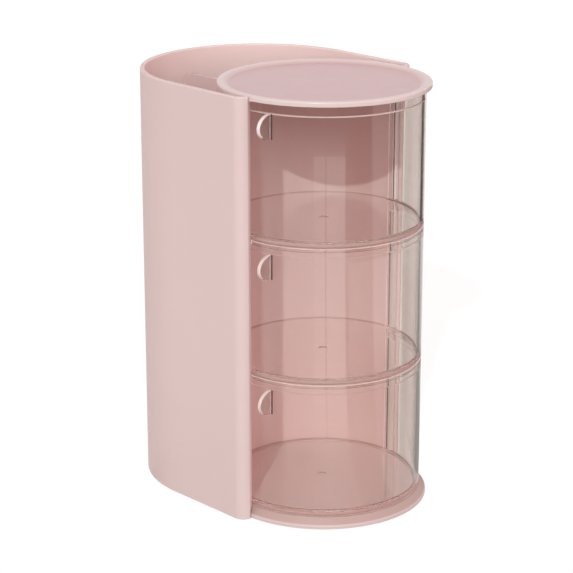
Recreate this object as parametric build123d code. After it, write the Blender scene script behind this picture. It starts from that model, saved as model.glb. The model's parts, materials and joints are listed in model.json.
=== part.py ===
"""Makeup organizer: a U-shaped housing with a round tower of three turning drawers.

Millimetres, +Z up, front at -Y. The origin is at the middle of the footprint, on the
surface that the organizer stands on. Each piece is drawn about the tower's own axis
and moved to its place when it is written.
"""
import os
from math import acos, asin, atan2, degrees, hypot, radians, sin

from build123d import *

# Housing: rear half round, straight sides, front edges that bend inwards
shell_wall = 3.0
shell_side_gap = 5.4
shell_nose_radius = 7.0
shell_nose_front = 5.3
shell_rim_radius = 0.9

# Tower wall behind the drawers, and the plate that splits the space behind it
tower_gap = 0.9
tower_wall = 2.6
tower_wrap = 2.0
tower_end_radius = 0.9
pocket_depth = 64.3
divider_thickness = 2.5
divider_drop = 14.4
divider_corner_radius = 6.5

# Base: round plateau under the drawers, sloped front skirt and a flat rear floor
base_overhang = 0.8
base_edge_height = 1.7
base_edge_radius = 0.6
base_plateau_height = 6.3
base_floor_thickness = 4.0

# Anti-slip pads let into the underside of the base
pad_radius = 6.0
pad_thickness = 1.0
pad_stand = 0.3
pad_front_share = 0.62
pad_rear_share = 0.68

# Top tray
tray_rim_height = 3.2
tray_rim_width = 3.6
tray_slope_width = 3.9
tray_recess_depth = 1.7
tray_rim_radius = 1.1
tray_lug_front = 6.0
tray_lug_depth = 3.6

# Drawers: full round floor, half round front wall and a pull tab
drawer_count = 3
drawer_radius = 61.5
drawer_wall = 2.4
drawer_height = 84.9
drawer_wrap = 1.5
drawer_floor = 3.0
drawer_edge_radius = 1.4
drawer_corner_radius = 1.5
drawer_end_radius = 0.4
lip_height = 5.9
lip_thickness = 1.1
foot_height = 3.0
foot_width = 1.6
gate_radius = 2.7
gate_depth = 0.5
tab_angle = 76.3
tab_reach = 11.5
tab_height = 15.5
tab_thickness = 2.2
tab_edge_radius = 0.8

# Clearances
running_clearance = 0.3
seat_clearance = 0.1

# Levels, from the standing surface upwards
base_bottom = pad_stand
base_floor_top = base_bottom + base_floor_thickness
plateau_top = base_bottom + base_plateau_height
drawer_pitch = drawer_height + running_clearance
first_drawer = plateau_top + running_clearance
tray_underside = first_drawer + drawer_count * drawer_pitch
housing_top = tray_underside + tray_rim_height
housing_height = housing_top - base_bottom

# Plan sizes, from the drawers outwards
drawer_inner = drawer_radius - drawer_wall
lip_inner = drawer_radius - lip_thickness
foot_outer = lip_inner - running_clearance
foot_inner = foot_outer - foot_width
tower_inner = drawer_radius + tower_gap
tower_radius = tower_inner + tower_wall
plateau_radius = tower_inner - running_clearance
base_radius = tower_radius + base_overhang
mouth_radius = base_radius + running_clearance
shell_half_width = tower_radius + shell_side_gap + shell_wall
shell_rear_center = pocket_depth - shell_side_gap
shell_rear = shell_rear_center + shell_half_width
tower_y = (base_radius - shell_rear) / 2

on_floor = (Align.CENTER, Align.CENTER, Align.MIN)


def behind(line):
    """Large rectangle that covers the plan behind y = line."""
    reach = 2 * shell_rear
    return Pos(0, line + reach / 2) * Rectangle(2 * reach, reach)


def housing_plan(inset):
    """Outline of the space that the housing takes up, drawn in from its outer face."""
    half = shell_half_width - inset
    front = inset - shell_nose_front
    depth = shell_rear_center - front
    plan = (Pos(0, shell_rear_center) * Circle(half)) & behind(shell_rear_center)
    plan += Pos(0, front + depth / 2) * Rectangle(2 * half, depth)
    front_corners = plan.vertices().sort_by(Axis.Y)[:2]
    return fillet(front_corners, shell_nose_radius - inset)


def upright_edges(solid):
    """Edges that run straight up."""
    return solid.edges().filter_by(Axis.Z)


def outer_shell():
    """Thin wall round the sides and rear, open at the top, bottom and front.

    Its front edges bend inwards as far as the mouth that the base plate stands in.
    """
    half = shell_half_width - shell_wall / 2
    bend = shell_nose_radius - shell_wall / 2
    bend_x = half - bend
    bend_y = bend + shell_wall / 2 - shell_nose_front
    tip = mouth_radius + shell_wall / 2
    lean = (tip**2 - bend_x**2 - bend_y**2 - bend**2) / (2 * bend)
    turn = degrees(acos(lean / hypot(bend_x, bend_y)) - atan2(bend_y, bend_x))
    middle = Wire([
        CenterArc((-bend_x, bend_y), bend, 180, turn),
        Line((-half, bend_y), (-half, shell_rear_center)),
        CenterArc((0, shell_rear_center), half, 0, 180),
        Line((half, bend_y), (half, shell_rear_center)),
        CenterArc((bend_x, bend_y), bend, 0, -turn),
    ])
    wall = extrude(make_face(offset(middle, shell_wall / 2).edges()), housing_height)
    wall = fillet(wall.faces().sort_by(Axis.Z)[-1].edges(), shell_rim_radius)
    return Pos(0, 0, base_bottom) * wall


def tower_back_wall():
    """Half round wall that the drawers turn in, a little more than a half circle."""
    plan = (Circle(tower_radius) - Circle(tower_inner)) & behind(-tower_wrap)
    wall = extrude(plan, tray_underside - base_floor_top)
    wall = fillet(upright_edges(wall), tower_end_radius)
    return Pos(0, 0, base_floor_top) * wall


def rear_divider():
    """Upright plate between the tower and the rear of the housing."""
    front = tower_radius + seat_clearance
    rear = shell_rear - shell_wall - seat_clearance
    height = housing_top - divider_drop - base_floor_top
    side = Pos((front + rear) / 2, height / 2) * Rectangle(rear - front, height)
    top_rear = side.vertices().sort_by(Axis.X)[-2:].sort_by(Axis.Y)[-1]
    side = fillet(top_rear, divider_corner_radius)
    plate = extrude(Plane.YZ * side, divider_thickness / 2, both=True)
    return Pos(0, 0, base_floor_top) * plate


def pad_places():
    """Centres of the pads: two under the drawers, two near the rear corners."""
    front = pad_front_share * base_radius * sin(radians(45))
    rear = pad_rear_share * shell_half_width * sin(radians(45))
    rear_y = shell_rear_center + rear
    return [(-front, -front), (front, -front), (-rear, rear_y), (rear, rear_y)]


def base_plate():
    """Round plateau with a sloped front skirt, and the floor of the rear space."""
    rear_floor = extrude(housing_plan(shell_wall + running_clearance), base_floor_thickness)
    skirt_profile = Polyline(
        (0, 0),
        (base_radius, 0),
        (base_radius, base_edge_height),
        (plateau_radius, base_plateau_height),
        (0, base_plateau_height),
        close=True,
    )
    skirt = revolve(Plane.XZ * make_face(skirt_profile), Axis.Z)
    outer_edges = skirt.edges().filter_by(GeomType.CIRCLE).sort_by(SortBy.RADIUS)[-2:]
    skirt = fillet(outer_edges.sort_by(Axis.Z)[-1], base_edge_radius)
    wall_seat = extrude(behind(-tower_wrap - running_clearance), base_plateau_height)
    skirt -= Pos(0, 0, base_floor_thickness) * wall_seat
    plate = rear_floor + skirt + Cylinder(plateau_radius, base_plateau_height, align=on_floor)

    groove_depth = foot_height + running_clearance
    groove = Circle(lip_inner) - Circle(foot_inner - running_clearance)
    plate -= Pos(0, 0, base_plateau_height - groove_depth) * extrude(groove, groove_depth)
    pocket = Cylinder(pad_radius + seat_clearance, pad_thickness - pad_stand, align=on_floor)
    for x, y in pad_places():
        plate -= Pos(x, y, 0) * pocket
    return Pos(0, 0, base_bottom) * plate


def foot_pads():
    """Four thin round pads that the organizer stands on."""
    pad = Cylinder(pad_radius, pad_thickness, align=on_floor)
    return Compound([Pos(x, y, 0) * pad for x, y in pad_places()])


def top_tray():
    """Shallow round tray with a raised rim and a lug beside each front edge."""
    rim_inner = tower_radius - tray_rim_width
    floor_level = tray_rim_height - tray_recess_depth
    profile = Polyline(
        (0, 0),
        (tower_radius, 0),
        (tower_radius, tray_rim_height),
        (rim_inner, tray_rim_height),
        (rim_inner - tray_slope_width, floor_level),
        (0, floor_level),
        close=True,
    )
    tray = revolve(Plane.XZ * make_face(profile), Axis.Z)
    rim_edges = tray.edges().filter_by(GeomType.CIRCLE).sort_by(Axis.Z)[-2:]
    tray = fillet(rim_edges, tray_rim_radius)
    lug_ring = Circle(mouth_radius - seat_clearance) - Circle(tower_radius - tray_rim_radius)
    lug_band = Rectangle(2 * mouth_radius, tray_lug_depth)
    lugs = lug_ring & Pos(0, tray_lug_depth / 2 - tray_lug_front) * lug_band
    tray += extrude(lugs, tray_rim_height)
    return Pos(0, 0, tray_underside) * tray


def pull_tab():
    """Half-moon fin that stands out from the drawer's wall, near one end of it."""
    front_half = Pos(tab_reach / 2, 0) * Rectangle(tab_reach, tab_height)
    moon = Ellipse(tab_reach, tab_height / 2) & front_half
    root = Pos(-drawer_wall / 4, 0) * Rectangle(drawer_wall / 2, tab_height)
    fin = extrude(Plane.XZ * (moon + root), tab_thickness / 2, both=True)
    fin = fillet(fin.edges().filter_by(GeomType.ELLIPSE), tab_edge_radius)
    middle = drawer_height - lip_height - tab_height / 2
    return Rot(0, 0, -90 - tab_angle) * Pos(drawer_radius, 0, middle) * fin


def front_turned(profile, wrap):
    """Half round of a profile in the radial plane, from side to side round the front."""
    past = degrees(asin(wrap / drawer_radius))
    turned = revolve(Plane.XZ * make_face(profile), Axis.Z, 180 + 2 * past)
    return Rot(0, 0, 180 - past) * turned


def drawer():
    """Clear drawer in one moulding, with its floor's underside at z = 0."""
    floor = Cylinder(drawer_radius, drawer_floor, align=on_floor)
    floor = fillet(floor.edges().sort_by(Axis.Z)[0], drawer_edge_radius)
    gate = Cylinder(gate_radius, gate_depth, align=on_floor)
    floor -= Pos(0, 0, drawer_floor - gate_depth) * gate

    step = drawer_height - lip_height
    corner_x = drawer_inner - drawer_corner_radius
    corner_z = drawer_floor + drawer_corner_radius
    wall_sides = Polyline(
        (corner_x, drawer_floor),
        (corner_x, drawer_edge_radius),
        (drawer_radius, drawer_edge_radius),
        (drawer_radius, drawer_height),
        (lip_inner, drawer_height),
        (lip_inner, step),
        (drawer_inner, step),
        (drawer_inner, corner_z),
    )
    corner = RadiusArc((drawer_inner, corner_z), (corner_x, drawer_floor), drawer_corner_radius)
    wall = front_turned([wall_sides, corner], drawer_wrap)
    wall = fillet(upright_edges(wall), drawer_end_radius)

    foot = Polyline(
        (foot_inner, -foot_height),
        (foot_outer, -foot_height),
        (foot_outer, drawer_edge_radius),
        (foot_inner, drawer_edge_radius),
        close=True,
    )
    return floor + wall + front_turned(foot, 0) + pull_tab()


def write(name, solid):
    """Save one piece, moved from the tower's axis to its place."""
    export_step(Pos(0, tower_y, 0) * solid, f"parts/{name}.step")


os.makedirs("parts", exist_ok=True)
write("outer_shell", outer_shell())
write("tower_back_wall", tower_back_wall())
write("rear_divider", rear_divider())
write("base_plate", base_plate())
write("foot_pads", foot_pads())
write("top_tray", top_tray())
for tier, place in enumerate(("bottom", "middle", "top")):
    level = first_drawer + tier * drawer_pitch
    write(f"drawer_{place}", Pos(0, 0, level) * drawer())
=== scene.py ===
"""Makeup organizer with turning drawers: its pieces, finishes and studio on the CAD frame."""
import json
from math import acos, atan2, cos, pi, radians, sin, tau

import bmesh
import bpy
from bpy.props import FloatProperty, FloatVectorProperty, PointerProperty
from bpy.types import Operator, Panel, PropertyGroup
from mathutils import Matrix, Vector


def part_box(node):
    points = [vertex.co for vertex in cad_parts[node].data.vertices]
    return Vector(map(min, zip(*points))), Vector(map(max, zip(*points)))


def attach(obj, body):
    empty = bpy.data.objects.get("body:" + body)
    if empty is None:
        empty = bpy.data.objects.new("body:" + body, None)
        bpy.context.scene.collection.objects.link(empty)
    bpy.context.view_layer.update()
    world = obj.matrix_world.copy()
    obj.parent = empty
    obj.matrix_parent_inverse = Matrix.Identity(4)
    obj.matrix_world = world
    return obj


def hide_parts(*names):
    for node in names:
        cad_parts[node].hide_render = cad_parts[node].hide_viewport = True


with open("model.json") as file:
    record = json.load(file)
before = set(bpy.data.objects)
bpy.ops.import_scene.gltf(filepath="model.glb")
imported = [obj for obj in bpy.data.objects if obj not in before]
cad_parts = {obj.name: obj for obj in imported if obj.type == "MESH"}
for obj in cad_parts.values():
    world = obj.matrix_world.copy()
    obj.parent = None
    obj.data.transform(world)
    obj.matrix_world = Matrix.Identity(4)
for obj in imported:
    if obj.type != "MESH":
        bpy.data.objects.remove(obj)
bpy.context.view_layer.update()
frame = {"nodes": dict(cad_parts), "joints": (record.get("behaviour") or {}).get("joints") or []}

bl_info = {
    "name": "Makeup organizer",
    "version": (1, 0, 0),
    "blender": (4, 5, 0),
    "location": "View3D > Sidebar > Organizer",
    "description": "Builds a round drawer tower in a U-shaped housing",
    "category": "Add Mesh",
}

MM = 0.001

# Places that the CAD frame fixes: the tower's axis, and the outer sizes of its pieces
TOWER_Y = frame["joints"][0]["pos_m"][1]
SHELL_LOW, SHELL_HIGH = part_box("outer_shell")
TRAY_LOW, TRAY_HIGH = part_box("top_tray")
BASE_RADIUS = TOWER_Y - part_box("base_plate")[0].y
DRAWERS = {
    "drawer_bottom": "bottom_drawer",
    "drawer_middle": "middle_drawer",
    "drawer_top": "top_drawer",
}
TOP_DRAWER = "drawer_top"

# Material slots of a drawer, after its clear walls: its painted highlights, its painted shade and
# its floor
EDGE, FLOOR_RIM_SHADE, DARK_LINE_SHADE, FLOOR, LIP, SHADE_EDGE = range(1, 7)

# Steps along the housing's wall, and round the tray, the drawers, their tabs and the sheets
NOSE_STEPS, NOSE_END_STEPS, SIDE_STEPS, REAR_STEPS, HEIGHT_STEPS = 28, 14, 24, 180, 12
TRAY_STEPS, HALF_TURN_STEPS, TAB_STEPS, SHEET_STEPS = 300, 180, 40, 36
# Steps of roundings: feet and marks, lips, ends, inner corners and beads, and outer edges
FOOT_ROUND, LIP_ROUND, END_ROUND, CORNER_ROUND, EDGE_ROUND = 3, 4, 5, 6, 8

# Limits of the mesh work, in metres and radians
WELD, TOUCH, SLACK = 1e-7, 1e-6, 1e-5
LEAST_RADIUS, LEDGE_RADIUS = 0.05 * MM, 0.15 * MM
SHARP_TURN = radians(32)
END_CLEAR = 0.008  # turn beside a wall's end that the even stations leave free
LEAP = 1  # turn that only the step across the rear exceeds

# Where the drawers' painted highlights and painted shade lie, and where the tray's painted shade
# starts
SHADED_CORNER_TURN = radians(50)
SHADED_CORNER_SHARE = 0.2
ROOT_SHADE_TURNS = radians(1.3), radians(2.3)
TAB_HIGHLIGHT_SHARE = 0.34
# Turns where the clear wall's tint changes: painted shade darkens it towards its right end, and the
# end takes the floors' lighter tint
WALL_SHADE_TURNS = radians(59), radians(70), radians(75.5), radians(78)
DOWNWARD = -0.9

# Detail of the finishes: sizes of the noise, per metre, and how strongly it shows
MOTTLE = {"Scale": 24.0, "Detail": 3.0, "Roughness": 0.55}
SHEEN, SHEEN_SPREAD = {"Scale": 90.0, "Detail": 2.0}, 0.04
SKIN, SKIN_STRENGTH, SKIN_DEPTH = {"Scale": 1400.0, "Detail": 2.0}, 0.12, 0.2 * MM
FLOW, FLOW_STRENGTH, FLOW_DEPTH = {"Scale": 45.0, "Detail": 1.0}, 0.05, 0.05 * MM
DEEP_SHARE = 0.97
SATIN_INDEX = 1.47
PASSED_LIGHT = 0.99, 0.985, 0.98
ONE_STEP = 0.5  # between no step and one on a light path

# Steps for light that runs on inside the clear walls and between the pink ones
BOUNCES = {
    "max_bounces": 32,
    "diffuse_bounces": 10,
    "glossy_bounces": 20,
    "transmission_bounces": 24,
    "transparent_max_bounces": 40,
}

# Dark mat and pale cards that only reflections show, as parts of rings about the tower's axis:
# tone, strengths, the radii that these run between, turns in degrees, and radii in millimetres
FAR = 6000
MAT_TONE, CARD_TONE = (1.0, 0.74, 0.62), (1.0, 0.96, 0.94)
SHEETS = {
    "mat": (MAT_TONE, (0.5, 0.1), (110, 260), (-180, 180), (70, FAR)),
    "card_left": (CARD_TONE, (0.35, 1.05), (150, 330), (-140, -44.5), (70, 750)),
    "card_left_far": (CARD_TONE, (1.05, 0.5), (750, 1000), (-140, -44.5), (750, 1000)),
    "card": (CARD_TONE, (0.35, 1.25), (150, 330), (-44.5, -32.3), (70, 1000)),
    "card_near": (CARD_TONE, (0.35, 1.25), (150, 330), (-31.1, -10.5), (70, 1000)),
    "card_far": (CARD_TONE, (0.5, 0.0), (1000, 1150), (-140, -10.5), (1000, FAR)),
    "card_between": (CARD_TONE, (0.1, 0.55), (250, 420), (-10.5, 18), (70, 610)),
    "card_right": (CARD_TONE, (0.5, 1.5), (250, 420), (18, 62), (70, 610)),
    "card_right_far": (CARD_TONE, (0.8,), None, (18, 62), (610, FAR)),
    "card_side": (CARD_TONE, (0.32, 0.5), (480, 720), (62, 106), (70, FAR)),
    "card_edge": (CARD_TONE, (0.55,), None, (106, 121), (70, 620)),
    "card_behind": (CARD_TONE, (0.8,), None, (121, 220), (70, FAR)),
}
SHEET_RISE = 0.1  # millimetres from one sheet to the next
SIDE_LEAN = 0.011  # degrees of turn per millimetre of reach
LEAN_REACH = 1000  # millimetres

# Camera, fitted to the photograph: degrees, millimetres from the tower's foot, and pixels
CAMERA_TURN, CAMERA_RISE, CAMERA_ROLL = -43.6, 17.56, 0.0287
CAMERA_TARGET, CAMERA_DISTANCE = (-4.882, 28.008, 129.547), 1270.49
FOCAL_PIXELS, PHOTO_PIXELS = 2016.98, 573
SENSOR_WIDTH = 36  # millimetres
CLIP_END = 50  # metres


# Properties that a user would change


def length(label, words, millimetres):
    """Property for one length, given in millimetres and kept in metres."""
    return FloatProperty(
        name=label, description=words, default=millimetres * MM, unit="LENGTH", precision=5)


def angle(label, words, degrees):
    """Property for one angle, given in degrees and kept in radians."""
    return FloatProperty(name=label, description=words, default=radians(degrees), unit="ROTATION")


def share(label, words, value):
    """Property for a value from nothing to one."""
    return FloatProperty(
        name=label, description=words, default=value, min=0, max=1, subtype="FACTOR")


def number(label, words, value):
    """Property for a light's strength, or another plain number."""
    return FloatProperty(name=label, description=words, default=value)


def colour(label, words, value):
    """Property for one linear colour."""
    return FloatVectorProperty(
        name=label, description=words, default=value, size=3, min=0, max=1, subtype="COLOR")


class ShellSizes(PropertyGroup):
    wall: length("Wall", "Thickness of the housing's wall", 3.0)
    nose_radius: length("Front bend", "Outer radius of the bend at each front edge", 7.0)
    rim_radius: length("Rim radius", "Rounding of the upper rim", 0.9)
    foot_radius: length("Foot radius", "Rounding of the lower edge", 0.3)
    mouth_gap: length("Mouth gap", "Gap between the base and each front edge", 0.3)


class TraySizes(PropertyGroup):
    rim_width: length("Rim width", "Width of the raised rim's top", 3.6)
    slope_width: length("Slope width", "Width of the slope inside the rim", 3.9)
    recess: length("Recess", "Depth of the tray's floor under the rim", 1.7)
    rim_radius: length("Rim radius", "Rounding of the rim's upper edges", 1.1)
    edge_radius: length("Edge radius", "Rounding of the lower edge", 0.35)
    lug_near: length("Lug front", "Distance of its front from the tower's axis", 6.0)
    lug_depth: length("Lug depth", "Depth of each side lug", 3.6)
    lug_reach: length("Lug reach", "Distance that each side lug stands out", 1.0)


class DrawerSizes(PropertyGroup):
    radius: length("Radius", "Outer radius of the drawer", 61.5)
    wall: length("Wall", "Thickness of the front wall", 2.4)
    height: length("Height", "Height of the drawer without its foot ring", 84.9)
    floor: length("Floor", "Thickness of the floor", 3.0)
    edge_radius: length("Edge radius", "Rounding of the lower outer edge", 1.4)
    corner_radius: length("Corner radius", "Rounding between floor and wall", 1.5)
    lip_height: length("Lip height", "Height of the thin lip at the top", 5.9)
    lip_thickness: length("Lip thickness", "Thickness of the thin lip", 1.1)
    lip_radius: length("Lip radius", "Rounding of the lip's edges", 0.3)
    # Painted highlight: a pale strip under the top drawer's ledge
    ledge_highlight_strip: length("Ledge strip", "Height of the bright strip under the top ledge", 0.9)
    end_radius: length("End radius", "Rounding of the wall's upright ends", 0.4)
    bead_gap: length("Bead gap", "Distance of the bead from the wall's end", 4.1)
    bead_width: length("Bead width", "Width of the upright bead inside the wall", 4.2)
    bead_flank: length("Bead flank", "Width of each side of the bead", 1.5)
    bead_height: length("Bead height", "Height of the bead over the wall", 0.5)
    # Painted shade: a dark line near the lower drawers' wall end
    end_line: length("End line", "Distance of the lower drawers' dark line from the end", 3.1)
    end_line_width: length("End line width", "Width of the lower drawers' dark line", 1.0)
    # Painted highlight: a pale band at the wall's right end, past the bead
    end_painted_band: length("End band", "Width of the pale band at the wall's right end", 10.1)
    wrap: length("Wrap", "Distance that the wall runs on behind the axis", 1.5)
    foot_gap: length("Foot gap", "Gap between the foot ring and the lip it stands in", 0.3)
    foot_height: length("Foot height", "Height of the ring under the floor", 3.0)
    foot_width: length("Foot width", "Width of the ring under the floor", 1.6)
    gate_radius: length("Gate radius", "Radius of the moulding mark in the floor", 2.7)
    gate_depth: length("Gate depth", "Depth of the moulding mark in the floor", 0.5)
    tab_angle: angle("Tab angle", "Turn of the pull tab from the front", 76.3)
    tab_reach: length("Tab reach", "Distance that the pull tab stands out", 11.5)
    tab_height: length("Tab height", "Height of the pull tab", 15.5)
    tab_thickness: length("Tab thickness", "Thickness of the pull tab", 2.2)
    tab_edge: length("Tab edge", "Rounding of the pull tab's rim", 0.6)

    @property
    def inner(self):
        """Radius of the wall's inner face."""
        return self.radius - self.wall

    @property
    def lip(self):
        """Radius of the lip's inner face."""
        return self.radius - self.lip_thickness

    @property
    def step(self):
        """Height of the ledge inside the lip."""
        return self.height - self.lip_height

    @property
    def corner(self):
        """Radius at which the flat floor ends."""
        return self.inner - self.corner_radius

    @property
    def edge_start(self):
        """Radius at which the rounding of the lower edge starts."""
        return self.radius - self.edge_radius

    @property
    def stop(self):
        """Turn of the wall's ends from the front."""
        return pi / 2 + self.wrap / self.radius


class Finishes(PropertyGroup):
    pink: colour("Housing", "Colour of the satin moulded housing", (0.725, 0.585, 0.56))
    pink_deep: colour("Housing shade", "Deeper tone of its mottling", (0.705, 0.565, 0.54))
    pink_rough: share("Housing roughness", "Roughness of the satin moulding", 0.42)
    # Painted light: the housing's inside behind the tower is a lighter pink than its outside, to
    # brighten its pocket
    inside_painted_light: colour("Housing inside", "Colour behind the tower", (0.785, 0.615, 0.583))
    inner_pink: colour("Tower wall", "Colour of it and the divider", (0.735, 0.54, 0.525))
    inner_deep: colour("Tower wall shade", "Deeper tone of its mottling", (0.715, 0.52, 0.505))
    # Base plate zones: the darker skirt is painted shade, the lighter plateau under the drawers
    # painted light, and the paler outermost ring a painted highlight on the rounded edge
    skirt_painted_shade: colour("Base skirt", "Colour of the slope round the drawers", (0.49, 0.335, 0.305))
    plateau_painted_light: colour("Base plateau", "Colour under the drawers", (0.80, 0.655, 0.64))
    rim_painted_highlight: colour("Base rim", "Colour of the base's outermost edge", (0.655, 0.52, 0.50))
    highlight_ring_width: length("Base edge", "Width of the pale edge of the base", 0.4)
    tray_pink: colour("Tray rim", "Colour of the tray's rim", (0.725, 0.60, 0.575))
    tray_deep: colour("Tray rim shade", "Deeper tone of its mottling", (0.705, 0.58, 0.555))
    # Painted sheen: the tray's floor is a deeper, cooler pink than its rim, standing for the
    # reflection on it
    floor_painted_sheen: colour("Tray floor", "Colour of the smoother floor", (0.61, 0.39, 0.395))
    # Painted shade: the tray's underside is a deep red-pink, darker than its top, for the shade
    # under the tray
    underside_painted_shade: colour("Tray underside", "Colour of the dull underside", (0.58, 0.17, 0.155))
    tray_rough: share("Tray roughness", "Roughness of the tray", 0.3)
    clear: colour("Clear plastic", "Tint of the clear drawers", (0.865, 0.81, 0.775))
    # Painted shade: darker tint of the clear wall before its right end
    clear_painted_shade: colour("Clear side", "Tint before the wall's right end", (0.645, 0.605, 0.56))
    clear_floor: colour("Clear floors", "Tint of the drawers' floors", (0.955, 0.93, 0.92))
    clear_rough: share("Clear roughness", "Roughness of the polished drawers", 0.0)
    clear_ior: number("Clear index", "Refraction of the clear plastic", 1.5)
    # Painted highlights: near-white and pale pink, partly clear faces along the drawers' edges,
    # lips and ledges
    edge: colour("Clear edges", "Tint of the drawers' light-catching edges", (0.97, 0.92, 0.89))
    lip: colour("Clear lips", "Tint of the lips and the ledges in them", (0.86, 0.72, 0.68))
    edge_clear: share("Edge clearness", "Share of light through the edges", 0.2)
    edge_rough: share("Edge roughness", "Roughness of the edges", 0.35)
    # Painted shade: dark pink on the floors' lower rim, near-black lines at the tab's root and wall
    # end, and grey on the bead and corners
    painted_floor_rim_shade: colour("Floor edges", "Tint of the floors' rim", (0.50, 0.32, 0.29))
    rim_clear: share("Floor rim clearness", "Share of light through the floors' rim", 0.0)
    dark_edge: colour("Dark edges", "Tint of the edges that show dark", (0.07, 0.05, 0.045))
    soft_edge: colour("Soft edges", "Tint of the lower drawers' bead", (0.66, 0.65, 0.60))
    dark_clear: share("Dark edge clearness", "Share of light through the dark edges", 0.25)


class StageSettings(PropertyGroup):
    key_turn: angle("Key turn", "Turn of the key light from the front", -54.0)
    key_rise: angle("Key rise", "Height of the key light as an angle", 31.9)
    key_angle: angle("Key size", "Width of the key light as an angle", 0.9)
    key_power: number("Key power", "Strength of the key light", 1.335)
    key_tone: colour("Key tone", "Cool colour of the key light", (0.75, 1.0, 1.0))
    soft_turn: angle("Soft light turn", "Turn of the broad light from the front", -50)
    soft_rise: angle("Soft light rise", "Height of the broad light as an angle", 24)
    soft_angle: angle("Soft light size", "Width of the broad lights as an angle", 75)
    soft_power: number("Soft light power", "Strength of the broad light", 0.525)
    side_turn: angle("Side light turn", "Turn of the side light from the front", 30)
    side_rise: angle("Side light rise", "Height of the side light as an angle", 40)
    side_power: number("Side light power", "Strength of the side light", 0.252)
    fill_tone: colour("Fill tone", "Warm colour of the soft and even light", (1.0, 0.815, 0.815))
    fill_low: number("Fill at the sides", "Strength of the world near the floor", 1.84)
    fill_high: number("Fill from above", "Strength of the world overhead", 0.0)
    floor_tone: share("Floor", "Brightness of the floor under the light", 0.3)
    floor_shade: share("Floor shade", "Share of the floor's look that takes shadows", 0.2)
    floor_glow: share("Floor glow", "Share of the floor's look that is always bright", 0.86)


# Outlines and meshes


def quarter(steps, first=0):
    """Angles through a quarter turn, in even steps."""
    return [pi / 2 * k / steps for k in range(first, steps + 1)]


def rounded(corners, steps):
    """Open outline with each corner (x, y, radius) rounded, first and last as they are."""
    out = [Vector(corners[0][:2])]
    for before, here, after in zip(corners, corners[1:], corners[2:]):
        point = Vector(here[:2])
        back = (Vector(before[:2]) - point).normalized()
        on = (Vector(after[:2]) - point).normalized()
        if here[2] <= 0:
            out.append(point)
            continue
        half = acos(max(-1, min(1, back.dot(on)))) / 2
        middle = point + (back + on).normalized() * (here[2] / sin(half))
        run = here[2] * cos(half) / sin(half)
        start = point + back * run - middle
        turn = pi - 2 * half
        if back.x * on.y - back.y * on.x > 0:
            turn = -turn
        for k in range(steps + 1):
            out.append(middle + Matrix.Rotation(turn * k / steps, 2) @ start)
    out.append(Vector(corners[-1][:2]))
    return out


def on_turn(radius, z, turn):
    """Point at a radius and height, turned from the front about the tower's axis."""
    return Vector((radius * sin(turn), TOWER_Y - radius * cos(turn), z))


def bridge(bm, first, second):
    """Faces between two closed rows, where a row of one vertex is a point on the axis."""
    if len(first) == 1 or len(second) == 1:
        point, row = (first[0], second) if len(first) == 1 else (second[0], first)
        for a, b in zip(row, row[1:] + row[:1]):
            bm.faces.new((point, a, b))
        return
    for k in range(len(first)):
        n = (k + 1) % len(first)
        bm.faces.new((first[k], first[n], second[n], second[k]))


def finished_mesh(bm, name):
    """Mesh with outward normals, smooth except where it turns sharply."""
    bmesh.ops.remove_doubles(bm, verts=bm.verts, dist=WELD)
    bmesh.ops.recalc_face_normals(bm, faces=bm.faces)
    mesh = bpy.data.meshes.new(name)
    bm.to_mesh(mesh)
    bm.free()
    mesh.shade_smooth()
    mesh.set_sharp_from_angle(angle=SHARP_TURN)
    return mesh


def lathe(profile, steps):
    """Closed turned solid from a profile that starts and ends on the axis."""
    bm = bmesh.new()
    rings = []
    for radius, z in profile:
        turns = [0] if radius < WELD else [tau * k / steps for k in range(steps)]
        rings.append([bm.verts.new(on_turn(radius, z, turn)) for turn in turns])
    for first, second in zip(rings, rings[1:]):
        bridge(bm, first, second)
    return bm


def arc_points(center, radius, start, turn, steps):
    """Points and outward directions along an arc in plan."""
    rows = []
    for k in range(steps + 1):
        a = start + turn * k / steps
        way = Vector((cos(a), sin(a)))
        rows.append((center + way * radius, way))
    return rows


def wall_on(rows, half, levels):
    """Upright wall with round ends along rows of (point, outward direction).

    Each level is a height and how far the wall is drawn in there.
    """
    def end(point, way, reach):
        return [point + Matrix.Rotation(pi * k / NOSE_END_STEPS, 2) @ way * reach
                for k in range(1, NOSE_END_STEPS)]

    bm = bmesh.new()
    loops = []
    for z, inset in levels:
        reach = half - inset
        outer = [p + w * reach for p, w in rows]
        inner = [p - w * reach for p, w in reversed(rows)]
        last = end(*rows[-1], reach)
        first = end(rows[0][0], -rows[0][1], reach)
        loops.append([bm.verts.new((*p, z)) for p in outer + last + inner + first])
    for low, high in zip(loops, loops[1:]):
        bridge(bm, low, high)
    n = len(rows)
    for loop in (loops[0], loops[-1]):
        ends = (len(loop) - 2 * n) // 2
        inner_of = [loop[2 * n + ends - 1 - k] for k in range(n)]
        for k in range(n - 1):
            bm.faces.new((loop[k], loop[k + 1], inner_of[k + 1], inner_of[k]))
        bm.faces.new([loop[n - 1]] + loop[n:n + ends] + [inner_of[-1]])
        bm.faces.new([inner_of[0]] + loop[2 * n + ends:] + [loop[0]])
    return bm


def united(mesh, tool, name):
    """Union of two closed meshes, whose faces keep their material slots."""
    base = bpy.data.objects.new(name, mesh)
    other = bpy.data.objects.new(name + "_tool", tool)
    for obj in (base, other):
        bpy.context.scene.collection.objects.link(obj)
        for _ in range(SHADE_EDGE + 1):
            obj.data.materials.append(None)
    joined = base.modifiers.new("joined", "BOOLEAN")
    joined.operation = "UNION"
    joined.solver = "EXACT"
    joined.object = other
    bpy.context.view_layer.update()
    graph = bpy.context.evaluated_depsgraph_get()
    done = bpy.data.meshes.new_from_object(base.evaluated_get(graph))
    for obj in (base, other):
        bpy.data.objects.remove(obj)
    bm = bmesh.new()
    bm.from_mesh(done)
    return bm


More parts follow.
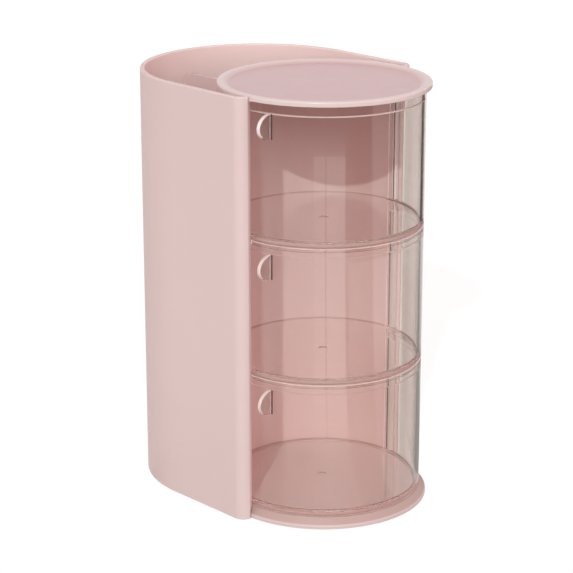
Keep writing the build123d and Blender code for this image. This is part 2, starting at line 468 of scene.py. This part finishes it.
def place(mesh, name, node, body, slot, *materials):
    """Object for a piece that stands for a CAD node and moves with its body."""
    for material in materials:
        mesh.materials.append(material)
    piece = bpy.data.objects.new(name, mesh)
    bpy.context.scene.collection.objects.link(piece)
    even = piece.modifiers.new("even_faces", "WEIGHTED_NORMAL")
    even.keep_sharp = True
    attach(piece, body)
    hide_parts(node)


def dress(node, material):
    """Gives a CAD node that stays in view its finish."""
    slots = frame["nodes"][node].data.materials
    slots.clear()
    slots.append(material)


# Finishes


def feed(tree, socket, value):
    """Gives an input a value or another node's output."""
    if isinstance(value, bpy.types.NodeSocket):
        tree.links.new(value, socket)
    else:
        socket.default_value = value


def set_inputs(tree, node, **values):
    """Feeds a node's inputs by name."""
    for key, value in values.items():
        feed(tree, node.inputs[key.replace("_", " ")], value)
    return node


def node_in(tree, kind, **values):
    """New shader node with its inputs set."""
    return set_inputs(tree, tree.nodes.new(kind), **values)


def maths(tree, operation, *values, kind="ShaderNodeMath", result="Value"):
    """Result of a calculation on numbers, vectors or other nodes' outputs."""
    made = tree.nodes.new(kind)
    made.operation = operation
    for socket, value in zip(made.inputs, values):
        feed(tree, socket, value)
    return made.outputs[result]


def mixed(tree, factor, first, second):
    """Colour from the first to the second as the factor goes from nothing to one."""
    made = tree.nodes.new("ShaderNodeMix")
    made.data_type = "RGBA"
    return set_inputs(tree, made, Factor=factor, A=first, B=second).outputs["Result"]


def end_in(tree, factor, first, second, last="Material Output"):
    """Leads a mix of two shaders to the end of the tree."""
    made = tree.nodes.new("ShaderNodeMixShader")
    for socket, value in zip(made.inputs, (factor, first, second)):
        feed(tree, socket, value)
    tree.links.new(made.outputs["Shader"], tree.nodes[last].inputs["Surface"])


def new_finish(name):
    """New material and its tree."""
    mat = bpy.data.materials.new(name)
    mat.use_nodes = True
    return mat, mat.node_tree


def place_on(tree):
    """Place on the object, for patterns and zones."""
    return tree.nodes.new("ShaderNodeTexCoord").outputs["Object"]


def noise(tree, where, pattern):
    """Cloudy pattern on the object."""
    return node_in(tree, "ShaderNodeTexNoise", Vector=where, **pattern).outputs["Fac"]


def off_axis(tree, where, near, far):
    """Nothing up to one distance from the tower's axis, one from a further distance on."""
    kind = "ShaderNodeVectorMath"
    shift = maths(tree, "SUBTRACT", where, (0, TOWER_Y, 0), kind=kind, result="Vector")
    plan = maths(tree, "MULTIPLY", shift, (1, 1, 0), kind=kind, result="Vector")
    reach = maths(tree, "LENGTH", plan, kind=kind)
    band = node_in(tree, "ShaderNodeMapRange", Value=reach, From_Min=near, From_Max=far)
    return band.outputs["Result"]


def round_axis(tree, where):
    """Turn from the front about the tower's axis, as a share of half a turn to the right."""
    shift = maths(tree, "SUBTRACT", (0, TOWER_Y, 0), where,
                  kind="ShaderNodeVectorMath", result="Vector")
    parts = node_in(tree, "ShaderNodeSeparateXYZ", Vector=shift)
    turn = maths(tree, "ARCTAN2", parts.outputs["X"], parts.outputs["Y"])
    return maths(tree, "DIVIDE", turn, -pi)


def deeper(tone):
    """Deeper tone of a colour's slight mottling."""
    return [DEEP_SHARE * c for c in tone]


def satin(name, pale, deep, rough, zones=()):
    """Moulded plastic: slight mottling, uneven sheen and a fine skin.

    Each zone is a colour that takes over nearer to the tower's axis, between two radii.
    """
    mat, tree = new_finish(name)
    where = place_on(tree)
    cloud = noise(tree, where, MOTTLE)
    tone = mixed(tree, cloud, (*pale, 1), (*deep, 1))
    for inside, near, far in zones:
        tone = mixed(tree, off_axis(tree, where, near, far), (*inside, 1), tone)
    sheen = noise(tree, where, SHEEN)
    band = node_in(tree, "ShaderNodeMapRange", Value=sheen,
                   To_Min=rough - SHEEN_SPREAD, To_Max=rough + SHEEN_SPREAD)
    skin = noise(tree, where, SKIN)
    bump = node_in(tree, "ShaderNodeBump", Strength=SKIN_STRENGTH, Distance=SKIN_DEPTH, Height=skin)
    set_inputs(tree, tree.nodes["Principled BSDF"], Base_Color=tone, IOR=SATIN_INDEX,
               Roughness=band.outputs["Result"], Normal=bump.outputs["Normal"])
    return mat


def polished_clear(name, tint, rough, index, clearness=1.0, shade_bands=()):
    """Clear moulded plastic with faint flow waves, which lets lamp light through.

    Each band is a turn from the front and the tint there, which paints shade on the wall; the tint
    runs on from one to the next.
    """
    mat, tree = new_finish(name)
    where = place_on(tree)
    flow = noise(tree, where, FLOW)
    bump = node_in(tree, "ShaderNodeBump", Strength=FLOW_STRENGTH * clearness,
                   Distance=FLOW_DEPTH, Height=flow)
    shader = set_inputs(tree, tree.nodes["Principled BSDF"], Base_Color=(*tint, 1), IOR=index,
                        Roughness=rough, Transmission_Weight=clearness,
                        Normal=bump.outputs["Normal"])
    if shade_bands:
        ramp = node_in(tree, "ShaderNodeValToRGB", Fac=round_axis(tree, where))
        stops = ramp.color_ramp.elements
        while len(stops) < len(shade_bands):
            stops.new(1.0)
        for stop, (turn, shade) in zip(stops, shade_bands):
            stop.position = turn / pi
            stop.color = (*shade, 1)
        set_inputs(tree, shader, Base_Color=ramp.outputs["Color"])
    through = node_in(tree, "ShaderNodeBsdfTransparent", Color=(*PASSED_LIGHT, 1))
    path = tree.nodes.new("ShaderNodeLightPath").outputs
    lamp_light = maths(tree, "MAXIMUM", path["Is Shadow Ray"], path["Is Diffuse Ray"])
    end_in(tree, lamp_light, shader.outputs["BSDF"], through.outputs["BSDF"])
    return mat


# Pieces


class ORGANIZER_OT_housing(Operator):
    """Build the housing's thin wall and finish the tower wall and the divider"""
    bl_idname = "organizer.housing"
    bl_label = "Housing"

    def execute(self, context):
        s = context.scene.organizer_shell
        f = context.scene.organizer_finishes
        half = s.wall / 2
        middle = SHELL_HIGH.x - half
        bend = s.nose_radius - half
        bend_at = Vector((middle - bend, SHELL_LOW.y + s.nose_radius))
        from_axis = Vector((bend_at.x, bend_at.y - TOWER_Y))
        tip = BASE_RADIUS + s.mouth_gap + half
        lean = (tip**2 - from_axis.length_squared - bend**2) / (2 * bend)
        turn = acos(lean / from_axis.length) - atan2(from_axis.y, from_axis.x)
        round_at = Vector((0, SHELL_HIGH.y - SHELL_HIGH.x))

        rows = arc_points(bend_at, bend, -turn, turn, NOSE_STEPS)
        for k in range(1, SIDE_STEPS):
            y = bend_at.y + (round_at.y - bend_at.y) * k / SIDE_STEPS
            rows.append((Vector((middle, y)), Vector((1, 0))))
        rows += arc_points(round_at, middle, 0, pi, REAR_STEPS)
        for k in range(1, SIDE_STEPS):
            y = round_at.y + (bend_at.y - round_at.y) * k / SIDE_STEPS
            rows.append((Vector((-middle, y)), Vector((-1, 0))))
        rows += arc_points(Vector((-bend_at.x, bend_at.y)), bend, pi, turn, NOSE_STEPS)

        height = SHELL_HIGH.z - SHELL_LOW.z
        levels = [(SHELL_LOW.z + s.foot_radius * (1 - cos(a)), s.foot_radius * (1 - sin(a)))
                  for a in quarter(FOOT_ROUND)]
        levels += [(SHELL_LOW.z + height * k / HEIGHT_STEPS, 0) for k in range(1, HEIGHT_STEPS)]
        levels += [(SHELL_HIGH.z - s.rim_radius * (1 - sin(a)), s.rim_radius * (1 - cos(a)))
                   for a in quarter(CORNER_ROUND)]
        bm = wall_on(rows, half, levels)
        bmesh.ops.recalc_face_normals(bm, faces=bm.faces)
        # Inner faces behind the tower take the lighter pink of painted light
        for face in bm.faces:
            at = face.calc_center_median()
            inward = face.normal.xy.dot(Vector((-at.x, min(0, round_at.y - at.y)))) > 0
            face.material_index = int(inward and at.y > TOWER_Y + s.nose_radius)
        outside = satin("pink_satin", f.pink, f.pink_deep, f.pink_rough)
        inside = satin("pink_satin_painted_light", f.inside_painted_light, deeper(f.inside_painted_light), f.pink_rough)
        place(finished_mesh(bm, "outer_shell_wall"), "outer_shell_wall", "outer_shell", "housing",
              "housing_plastic", outside, inside)
        tower = satin("tower_satin", f.inner_pink, f.inner_deep, f.pink_rough)
        for node in ("tower_back_wall", "rear_divider"):
            dress(node, tower)
        return {"FINISHED"}


class ORGANIZER_OT_base(Operator):
    """Finish the base plate, with painted shade on its skirt, painted light under the drawers and a
    painted highlight at its edge; the pads under it keep the frame's finish
    """
    bl_idname = "organizer.base"
    bl_label = "Base"

    def execute(self, context):
        f = context.scene.organizer_finishes
        d = context.scene.organizer_drawer
        # Painted zones: shade on the skirt, a highlight on the outermost ring, and light on the
        # plateau under the drawers
        zones = ((f.skirt_painted_shade, BASE_RADIUS - 2 * f.highlight_ring_width, BASE_RADIUS - f.highlight_ring_width),
                 (f.plateau_painted_light, d.edge_start, d.radius))
        dress("base_plate",
              satin("base_satin_painted_light_and_shade", f.rim_painted_highlight, deeper(f.rim_painted_highlight), f.pink_rough, zones))
        return {"FINISHED"}


def lug_block(s, side, radius, low, high):
    """Small rounded block at one side of the tray's rim."""
    bm = bmesh.new()
    posts = []
    for reach in (radius - s.rim_radius, radius + s.lug_reach):
        for near in (s.lug_near, s.lug_near - s.lug_depth):
            turn = side * acos(near / reach)
            posts.append([bm.verts.new(on_turn(reach, z, turn)) for z in (low, high)])
    a, b, c, d = posts
    for quad in ((a[0], b[0], d[0], c[0]), (a[1], b[1], d[1], c[1]), (a[0], a[1], b[1], b[0]),
                 (c[0], c[1], d[1], d[0]), (a[0], a[1], c[1], c[0]), (b[0], b[1], d[1], d[0])):
        bm.faces.new(quad)
    bmesh.ops.recalc_face_normals(bm, faces=bm.faces)
    bmesh.ops.bevel(bm, geom=bm.edges[:], offset=s.edge_radius, segments=FOOT_ROUND,
                    affect="EDGES", profile=0.5)
    return finished_mesh(bm, "tray_lug")


class ORGANIZER_OT_tray(Operator):
    """Build the shallow tray with its rim and side lugs"""
    bl_idname = "organizer.tray"
    bl_label = "Top tray"

    def execute(self, context):
        s = context.scene.organizer_tray
        f = context.scene.organizer_finishes
        radius = TRAY_HIGH.y - TOWER_Y
        low, high = TRAY_LOW.z, TRAY_HIGH.z
        rim = radius - s.rim_width
        slope = rim - s.slope_width
        profile = rounded([
            (0, low, 0),
            (radius, low, s.edge_radius),
            (radius, high, s.rim_radius),
            (rim, high, s.rim_radius),
            (slope, high - s.recess, 2 * s.rim_radius),
            (0, high - s.recess, 0),
        ], EDGE_ROUND)
        mesh = finished_mesh(lathe(profile, TRAY_STEPS), "tray")
        for side in (-1, 1):
            lug = lug_block(s, side, radius, low, high)
            mesh = finished_mesh(united(mesh, lug, "tray_joined"), "tray")
        # Downward faces at the tray's foot take the underside's painted shade
        for face in mesh.polygons:
            under = face.normal.z < DOWNWARD and face.center.z < low + s.edge_radius
            face.material_index = int(under)
        # Inside the rim the tray's floor takes its painted-sheen tone
        finish = satin("tray_satin", f.tray_pink, f.tray_deep, f.tray_rough,
                       ((f.floor_painted_sheen, slope, rim),))
        shaded_under = satin("tray_satin_painted_shade", f.underside_painted_shade, deeper(f.underside_painted_shade), f.pink_rough)
        place(mesh, "tray_with_rim", "top_tray", "housing", "housing_plastic", finish, shaded_under)
        return {"FINISHED"}


def floor_sections(s):
    """Sections of the drawer's floor: underside, foot ring, outer edge, rear rim and top."""
    foot_out = s.lip - s.foot_gap
    foot_in = foot_out - s.foot_width
    rim = s.lip_radius
    under = [Vector((foot_in / 2, 0)), Vector((foot_in, 0))]
    foot = rounded([(foot_in, 0, 0), (foot_in, -s.foot_height, rim),
                    (foot_out, -s.foot_height, rim), (foot_out, 0, 0)], FOOT_ROUND)
    edge = [Vector((foot_out, 0))]
    if s.edge_start > foot_out + TOUCH:
        edge.append(Vector((s.edge_start, 0)))
    for a in quarter(EDGE_ROUND, 1):
        edge.append(Vector((s.edge_start + s.edge_radius * sin(a), s.edge_radius * (1 - cos(a)))))
    edge.append(Vector((s.radius, s.floor - rim)))
    rear_rim = [edge[-1]]
    for a in quarter(LIP_ROUND, 1):
        rear_rim.append(Vector((s.radius - rim * (1 - cos(a)), s.floor - rim * (1 - sin(a)))))
    rear_rim.append(Vector((s.corner, s.floor)))
    top = rounded([(s.corner, s.floor, 0), (s.gate_radius, s.floor, rim / 2),
                   (s.gate_radius, s.floor - s.gate_depth, rim / 2),
                   (0, s.floor - s.gate_depth, 0)], FOOT_ROUND)
    return under, foot, edge, rear_rim, top


def wall_section(s, drawn_in, bead):
    """Section of the drawer's wall, from the floor's edge up, over the lip and down inside.

    It is drawn in on all sides at the wall's ends, and the bead thickens it inwards.
    """
    rim = max(s.lip_radius - drawn_in, LEAST_RADIUS)
    outer, lip, inner = s.radius - drawn_in, s.lip + drawn_in, s.inner + drawn_in - bead
    bend = s.corner_radius + drawn_in - bead
    section = rounded([
        (s.radius, s.floor - s.lip_radius, 0),
        (outer, s.floor + drawn_in, 0),
        (outer, s.step - s.tab_height, 0),
        (outer, s.step, 0),
        (outer, s.height - drawn_in, rim),
        (lip, s.height - drawn_in, rim),
        (lip, s.step - drawn_in, LEDGE_RADIUS),
        (inner, s.step - drawn_in, rim),
        (inner, s.step - s.ledge_highlight_strip, 0),
        (inner, s.floor + bend, 0),
    ], LIP_ROUND)
    for a in quarter(CORNER_ROUND, 1):
        section.append(Vector((inner - bend * (1 - cos(a)), s.floor + bend * (1 - sin(a)))))
    return section


def drawer_stations(s):
    """Turns of the drawer's sections, with how far the wall is drawn in and the bead's rise."""
    bead_end = s.bead_gap + s.bead_width
    stations = []
    for k in range(1 - HALF_TURN_STEPS, HALF_TURN_STEPS + 1):
        turn = pi * k / HALF_TURN_STEPS
        beside = (s.stop - turn) * s.radius
        if abs(abs(turn) - s.stop) > END_CLEAR and not s.bead_gap < beside < bead_end:
            stations.append((turn, 0.0, 0.0))
    for a in quarter(END_ROUND):
        turn = s.stop - s.end_radius * (1 - sin(a)) / s.radius
        drawn_in = s.end_radius * (1 - cos(a))
        stations += [(-turn, drawn_in, 0.0), (turn, drawn_in, 0.0)]
    for k in range(CORNER_ROUND + 1):
        rise = s.bead_height * (1 - cos(pi * k / CORNER_ROUND)) / 2
        flank = s.bead_flank * k / CORNER_ROUND
        for back in (s.bead_gap + flank, bead_end - flank):
            stations.append((s.stop - back / s.radius, 0.0, rise))
    return sorted(stations)


def drawer_body(s, low):
    """One drawer without its tab: full floor, half round wall and half foot ring."""
    under, foot, edge, rear_rim, top = floor_sections(s)
    bm = bmesh.new()

    def row(points, turn):
        return [bm.verts.new(on_turn(p.x, low + p.y, turn)) for p in points]

    def strip(first, second):
        for k in range(len(first) - 1):
            quad = [first[k], first[k + 1], second[k + 1], second[k]]
            if quad[0] is quad[3]:
                quad.pop(3)
            elif quad[1] is quad[2]:
                quad.pop(2)
            bm.faces.new(quad)

    centre_low = bm.verts.new(on_turn(0, low, 0))
    centre_high = bm.verts.new(on_turn(0, low + top[-1].y, 0))
    made = []
    for turn, drawn_in, bead in drawer_stations(s):
        a = [centre_low] + row(under, turn)
        e = row(edge, turn)
        t = row(top[:-1], turn) + [centre_high]
        entry = {"turn": turn, "under": a, "edge": e, "top": t}
        if abs(turn) <= pi / 2 + TOUCH:
            entry["foot"] = [a[-1]] + row(foot[1:-1], turn) + [e[0]]
        if abs(turn) <= s.stop + TOUCH:
            section = wall_section(s, drawn_in, bead)
            entry["wall"] = [e[-1]] + row(section[1:-1], turn) + [t[0]]
        if abs(turn) >= s.stop - TOUCH:
            entry["rear"] = [e[-1]] + row(rear_rim[1:-1], turn) + [t[0]]
        made.append(entry)

    for here, on in zip(made, made[1:] + made[:1]):
        close = abs(here["turn"] - on["turn"]) < LEAP
        for part in ("under", "edge", "top"):
            strip(here[part], on[part])
        if "wall" in here and "wall" in on and close:
            strip(here["wall"], on["wall"])
        else:
            strip(here["rear"], on["rear"])
        if "foot" in here and "foot" in on and close:
            strip(here["foot"], on["foot"])
        else:
            strip([here["under"][-1], here["edge"][0]], [on["under"][-1], on["edge"][0]])
    for entry in made:
        if "wall" in entry and "rear" in entry:
            bm.faces.new(entry["wall"] + entry["rear"][-2:0:-1])
    with_foot = [entry for entry in made if "foot" in entry]
    for entry in (with_foot[0], with_foot[-1]):
        bm.faces.new(entry["foot"])
    return bm


def mark_edges(bm, s, low, upper):
    """Gives the faces along a drawer's edges, and its floor, their material slots.

    Wall ends and the top drawer's band at the right take a painted highlight; lips, ledges and the
    lower drawers' band a paler one. The tab's root, the end line, the bead, the corner by it and
    the floor's lower rim take painted shade.
    """
    rim = s.lip_radius
    for face in bm.faces:
        at = face.calc_center_median()
        z = at.z - low
        turn = atan2(at.x, TOWER_Y - at.y)
        out = Vector((at.x, at.y - TOWER_Y)).length
        beside = (s.stop - turn) * s.radius
        off_crown = abs(beside - s.bead_gap - s.bead_width / 2)
        inside = out < s.inner + SLACK and s.floor + s.corner_radius < z < s.step - s.ledge_highlight_strip
        on_end = len(face.verts) > 4 and abs(abs(turn) - s.stop) < s.end_radius / s.radius
        on_turned_end = inside and -TOUCH < beside < s.end_radius
        on_line = inside and not upper and abs(beside - s.end_line) < s.end_line_width / 2
        on_band = inside and s.bead_gap < beside < s.end_painted_band
        on_bead = inside and s.bead_gap < beside < s.bead_gap + s.bead_width
        on_crown = inside and off_crown < s.bead_width / 2 - s.bead_flank
        strip = s.ledge_highlight_strip if upper else rim
        on_ledge = -strip < z - s.step < rim and s.inner - 2 * rim < out < s.lip
        in_corner = TOUCH < z - s.floor < s.corner_radius * SHADED_CORNER_SHARE and out < s.inner
        on_corner = in_corner and SHADED_CORNER_TURN < turn < s.stop
        on_root = (out > s.radius - SLACK and s.step - s.tab_height < z < s.step
                   and ROOT_SHADE_TURNS[0] < turn + s.tab_angle < ROOT_SHADE_TURNS[1])
        if on_root or on_line:
            face.material_index = DARK_LINE_SHADE
        elif on_corner or (on_crown if upper else on_bead):
            face.material_index = SHADE_EDGE
        elif on_end or on_turned_end or (on_band and upper):
            face.material_index = EDGE
        elif on_band or on_ledge or z > s.height - rim:
            face.material_index = LIP
        elif -TOUCH < z < s.floor - rim and out > s.edge_start:
            face.material_index = FLOOR_RIM_SHADE
        elif -TOUCH < z < s.floor + TOUCH and out < s.corner:
            face.material_index = FLOOR


def tab_solid(s, low, upper):
    """Half-moon pull tab, a thin upright fin with a rounded rim."""
    half = s.tab_thickness / 2
    middle = low + s.step - s.tab_height / 2
    root = -s.wall / 2
    swing = Matrix.Rotation(-pi / 2 - s.tab_angle, 3, "Z")
    bm = bmesh.new()

    def stand_out(x, side, z):
        at = swing @ Vector((s.radius + x, side, 0))
        return Vector((at.x, TOWER_Y + at.y, middle + z))

    def loop(inset, side):
        points = [(root, -s.tab_height / 2 + inset)]
        for k in range(TAB_STEPS + 1):
            a = -pi / 2 + pi * k / TAB_STEPS
            points.append(((s.tab_reach - inset) * cos(a), (s.tab_height / 2 - inset) * sin(a)))
        points.append((root, s.tab_height / 2 - inset))
        return [bm.verts.new(stand_out(x, side, z)) for x, z in points]

    bends = [(s.tab_edge * (1 - sin(a)), s.tab_edge * (1 - cos(a))) for a in quarter(END_ROUND)]
    loops = [loop(inset, -half + rise) for inset, rise in bends]
    loops += [loop(inset, half - rise) for rise, inset in bends]
    for first, second in zip(loops, loops[1:]):
        bridge(bm, first, second)
    # The tab's upper rim takes a painted highlight
    for face in bm.faces:
        if face.calc_center_median().z > middle - TAB_HIGHLIGHT_SHARE * s.tab_height:
            face.material_index = EDGE if upper else LIP
    bm.faces.new(loops[0])
    bm.faces.new(loops[-1])
    return bm


class ORGANIZER_OT_drawers(Operator):
    """Build the clear drawers, each one moulding with its pull tab"""
    bl_idname = "organizer.drawers"
    bl_label = "Drawers"

    def execute(self, context):
        s = context.scene.organizer_drawer
        f = context.scene.organizer_finishes
        # The walls' tint is painted shade that darkens towards the right end; the end takes the
        # floors' lighter tint
        tints = f.clear, f.clear_painted_shade, f.clear_painted_shade, f.clear_floor
        shade_bands = list(zip(WALL_SHADE_TURNS, tints))
        polish = f.clear_rough, f.clear_ior
        dull = f.edge_rough, f.clear_ior
        walls = polished_clear("clear_polished", f.clear, *polish, shade_bands=shade_bands)
        # Painted highlights on wall ends, lips, ledges, the tab's rim and the end band
        edges = polished_clear("clear_painted_highlights", f.edge, *dull, f.edge_clear)
        # Painted shade on the floors' rims, the dark lines, the bead and the corners
        shaded_rims = polished_clear("clear_floor_rim_painted_shade", f.painted_floor_rim_shade, *dull, f.rim_clear)
        dark = polished_clear("clear_painted_dark_lines", f.dark_edge, *dull, f.dark_clear)
        soft = polished_clear("clear_painted_soft_shade", f.soft_edge, *dull, f.dark_clear)
        floors = polished_clear("clear_floors", f.clear_floor, *polish)
        lips = polished_clear("clear_lips_painted_highlight", f.lip, *dull, f.edge_clear)
        for node, body in DRAWERS.items():
            upper = node == TOP_DRAWER
            finish = (walls, edges, shaded_rims, dark, floors, lips, dark if upper else soft)
            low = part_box(node)[0].z + s.foot_height
            bm = drawer_body(s, low)
            mark_edges(bm, s, low, upper)
            moulding = finished_mesh(bm, node + "_body")
            tab = finished_mesh(tab_solid(s, low, upper), node + "_tab")
            mesh = finished_mesh(united(moulding, tab, node + "_joined"), node + "_moulding")
            place(mesh, node + "_moulding", node, body, "clear_plastic", *finish)
        return {"FINISHED"}


# Stage


def mirrored_only(name, tone, levels, grade):
    """Glow that only a mirrored path meets, graded by distance; all else passes through it."""
    mat, tree = new_finish(name)
    tree.nodes.remove(tree.nodes["Principled BSDF"])
    glow = node_in(tree, "ShaderNodeEmission", Color=(*tone, 1), Strength=levels[0])
    if grade:
        reach = off_axis(tree, place_on(tree), grade[0] * MM, grade[1] * MM)
        level = node_in(tree, "ShaderNodeMapRange", Value=reach,
                        To_Min=levels[0], To_Max=levels[1])
        set_inputs(tree, glow, Strength=level.outputs["Result"])
    clear = tree.nodes.new("ShaderNodeBsdfTransparent")
    path = tree.nodes.new("ShaderNodeLightPath").outputs
    mirrored = maths(tree, "GREATER_THAN", path["Glossy Depth"], ONE_STEP)
    end_in(tree, mirrored, clear.outputs["BSDF"], glow.outputs["Emission"])
    return mat


def seen_straight(tree):
    """One for rays that the camera, gloss or clear plastic send out, before any matt surface."""
    path = tree.nodes.new("ShaderNodeLightPath").outputs
    eye = maths(tree, "MAXIMUM", path["Is Camera Ray"], path["Is Glossy Ray"])
    sent = maths(tree, "MAXIMUM", eye, path["Is Transmission Ray"])
    early = maths(tree, "LESS_THAN", path["Diffuse Depth"], ONE_STEP)
    return maths(tree, "MULTIPLY", sent, early)


def ring_sector(turns, reach):
    """Strip in plan between two turns and two radii, whose sides look upright in a round mirror."""
    rows = []
    for radius in reach:
        start = turns[0] - SIDE_LEAN * min(radius, LEAN_REACH)
        way = [radians(start + (turns[1] - turns[0]) * k / SHEET_STEPS)
               for k in range(SHEET_STEPS + 1)]
        rows.append([(radius * sin(a), -radius * cos(a)) for a in way])
    return rows


def flat_piece(name, rows, height, material):
    """Flat stage sheet between rows of points in plan about the tower's axis."""
    mesh = bpy.data.meshes.new(name)
    count = len(rows[0])
    points = [(x * MM, y * MM + TOWER_Y, height * MM) for row in rows for x, y in row]
    faces = [(k, k + 1, count + k + 1, count + k) for k in range(count - 1)]
    mesh.from_pydata(points, [], faces)
    mesh.materials.append(material)
    obj = bpy.data.objects.new(name, mesh)
    bpy.context.scene.collection.objects.link(obj)
    return obj


def pale_floor(s):
    """Floor that is white to the eye, with a faint shadow of the organizer."""
    mat, tree = new_finish("pale_floor")
    tree.nodes.remove(tree.nodes["Principled BSDF"])
    lit = node_in(tree, "ShaderNodeBsdfDiffuse", Color=(s.floor_tone,) * 3 + (1,))
    soft = node_in(tree, "ShaderNodeBsdfDiffuse", Color=(s.floor_shade,) * 3 + (1,))
    glow = node_in(tree, "ShaderNodeEmission", Strength=s.floor_glow)
    seen = tree.nodes.new("ShaderNodeAddShader")
    tree.links.new(soft.outputs["BSDF"], seen.inputs[0])
    tree.links.new(glow.outputs["Emission"], seen.inputs[1])
    end_in(tree, seen_straight(tree), lit.outputs["BSDF"], seen.outputs["Shader"])
    return mat


def studio_world(s):
    """World with fill light, fainter overhead, that is white to the eye."""
    world = bpy.data.worlds.new("studio")
    world.use_nodes = True
    tree = world.node_tree
    where = tree.nodes.new("ShaderNodeTexCoord")
    height = node_in(tree, "ShaderNodeSeparateXYZ", Vector=where.outputs["Generated"])
    rise = node_in(tree, "ShaderNodeMapRange", Value=height.outputs["Z"],
                   To_Min=s.fill_low, To_Max=s.fill_high)
    light = node_in(tree, "ShaderNodeBackground", Color=(*s.fill_tone, 1),
                    Strength=rise.outputs["Result"])
    white = node_in(tree, "ShaderNodeBackground", Color=(1, 1, 1, 1), Strength=1.0)
    end_in(tree, seen_straight(tree), light.outputs["Background"], white.outputs["Background"],
           "World Output")
    return world


def from_front(turn, rise):
    """Direction at a turn from the front and a rise over the floor."""
    return Vector((sin(turn) * cos(rise), -cos(turn) * cos(rise), sin(rise)))


def sun_lamp(name, turn, rise, width, power, tone):
    """Lamp at a far distance, whose width is an angle."""
    sun = bpy.data.lights.new(name, "SUN")
    sun.color = tone
    sun.energy = power
    sun.angle = width
    lamp = bpy.data.objects.new(name, sun)
    lamp.rotation_euler = from_front(turn, rise).to_track_quat("Z", "Y").to_euler()
    return lamp


def fitted_camera():
    """Camera that sees the organizer as the photograph shows it."""
    turn, rise, roll = radians(CAMERA_TURN), radians(CAMERA_RISE), radians(CAMERA_ROLL)
    back = from_front(turn, rise)
    right = Vector((cos(turn), sin(turn), 0))
    up = back.cross(right)
    right, up = right * cos(roll) + up * sin(roll), up * cos(roll) - right * sin(roll)
    lens = bpy.data.cameras.new("camera")
    lens.sensor_width = SENSOR_WIDTH
    lens.lens = FOCAL_PIXELS / PHOTO_PIXELS * SENSOR_WIDTH
    lens.clip_end = CLIP_END
    camera = bpy.data.objects.new("camera", lens)
    target = Vector(CAMERA_TARGET) * MM + Vector((0, TOWER_Y, 0))
    spin = Matrix((right, up, back)).transposed().to_4x4()
    camera.matrix_world = Matrix.Translation(target + back * (CAMERA_DISTANCE * MM)) @ spin
    return camera


class ORGANIZER_OT_stage(Operator):
    """Set the floor, the lights, the world and the camera"""
    bl_idname = "organizer.stage"
    bl_label = "Stage"

    def execute(self, context):
        scene = context.scene
        s = scene.organizer_stage
        scene.view_settings.view_transform = "Standard"
        for setting, count in BOUNCES.items():
            setattr(scene.cycles, setting, count)

        flat_piece("floor", [[(-FAR, -FAR), (FAR, -FAR)], [(-FAR, FAR), (FAR, FAR)]], 0,
                   pale_floor(s))
        scene.world = studio_world(s)
        for k, (title, (tone, levels, grade, turns, reach)) in enumerate(SHEETS.items(), 1):
            name = "reflection_" + title
            sheet = flat_piece(name, ring_sector(turns, reach), SHEET_RISE * k,
                               mirrored_only(name, tone, levels, grade))
            sheet.visible_camera = False
            sheet.visible_diffuse = False
            sheet.visible_shadow = False

        # Crisp key light and broad soft light from the front left, and a weak one from the right
        for light in (
                ("key", s.key_turn, s.key_rise, s.key_angle, s.key_power, s.key_tone),
                ("soft", s.soft_turn, s.soft_rise, s.soft_angle, s.soft_power, s.fill_tone),
                ("side", s.side_turn, s.side_rise, s.soft_angle, s.side_power, s.fill_tone)):
            scene.collection.objects.link(sun_lamp(*light))

        camera = fitted_camera()
        scene.collection.objects.link(camera)
        scene.camera = camera
        return {"FINISHED"}


class ORGANIZER_PT_panel(Panel):
    """Lists the organizer's pieces"""
    bl_idname = "ORGANIZER_PT_panel"
    bl_label = "Makeup organizer"
    bl_space_type = "VIEW_3D"
    bl_region_type = "UI"
    bl_category = "Organizer"

    def draw(self, context):
        for operator in OPERATORS:
            self.layout.operator(operator.bl_idname)


OPERATORS = (
    ORGANIZER_OT_housing,
    ORGANIZER_OT_base,
    ORGANIZER_OT_tray,
    ORGANIZER_OT_drawers,
    ORGANIZER_OT_stage,
)
SETTINGS = {
    "organizer_shell": ShellSizes,
    "organizer_tray": TraySizes,
    "organizer_drawer": DrawerSizes,
    "organizer_finishes": Finishes,
    "organizer_stage": StageSettings,
}


def register():
    for group in SETTINGS.values():
        bpy.utils.register_class(group)
    for name, group in SETTINGS.items():
        setattr(bpy.types.Scene, name, PointerProperty(type=group))
    for item in (*OPERATORS, ORGANIZER_PT_panel):
        bpy.utils.register_class(item)


def unregister():
    for item in (ORGANIZER_PT_panel, *OPERATORS):
        bpy.utils.unregister_class(item)
    for name, group in SETTINGS.items():
        delattr(bpy.types.Scene, name)
        bpy.utils.unregister_class(group)


def main():
    register()
    bpy.ops.organizer.housing()
    bpy.ops.organizer.base()
    bpy.ops.organizer.tray()
    bpy.ops.organizer.drawers()
    bpy.ops.organizer.stage()


if __name__ == "__main__":
    main()
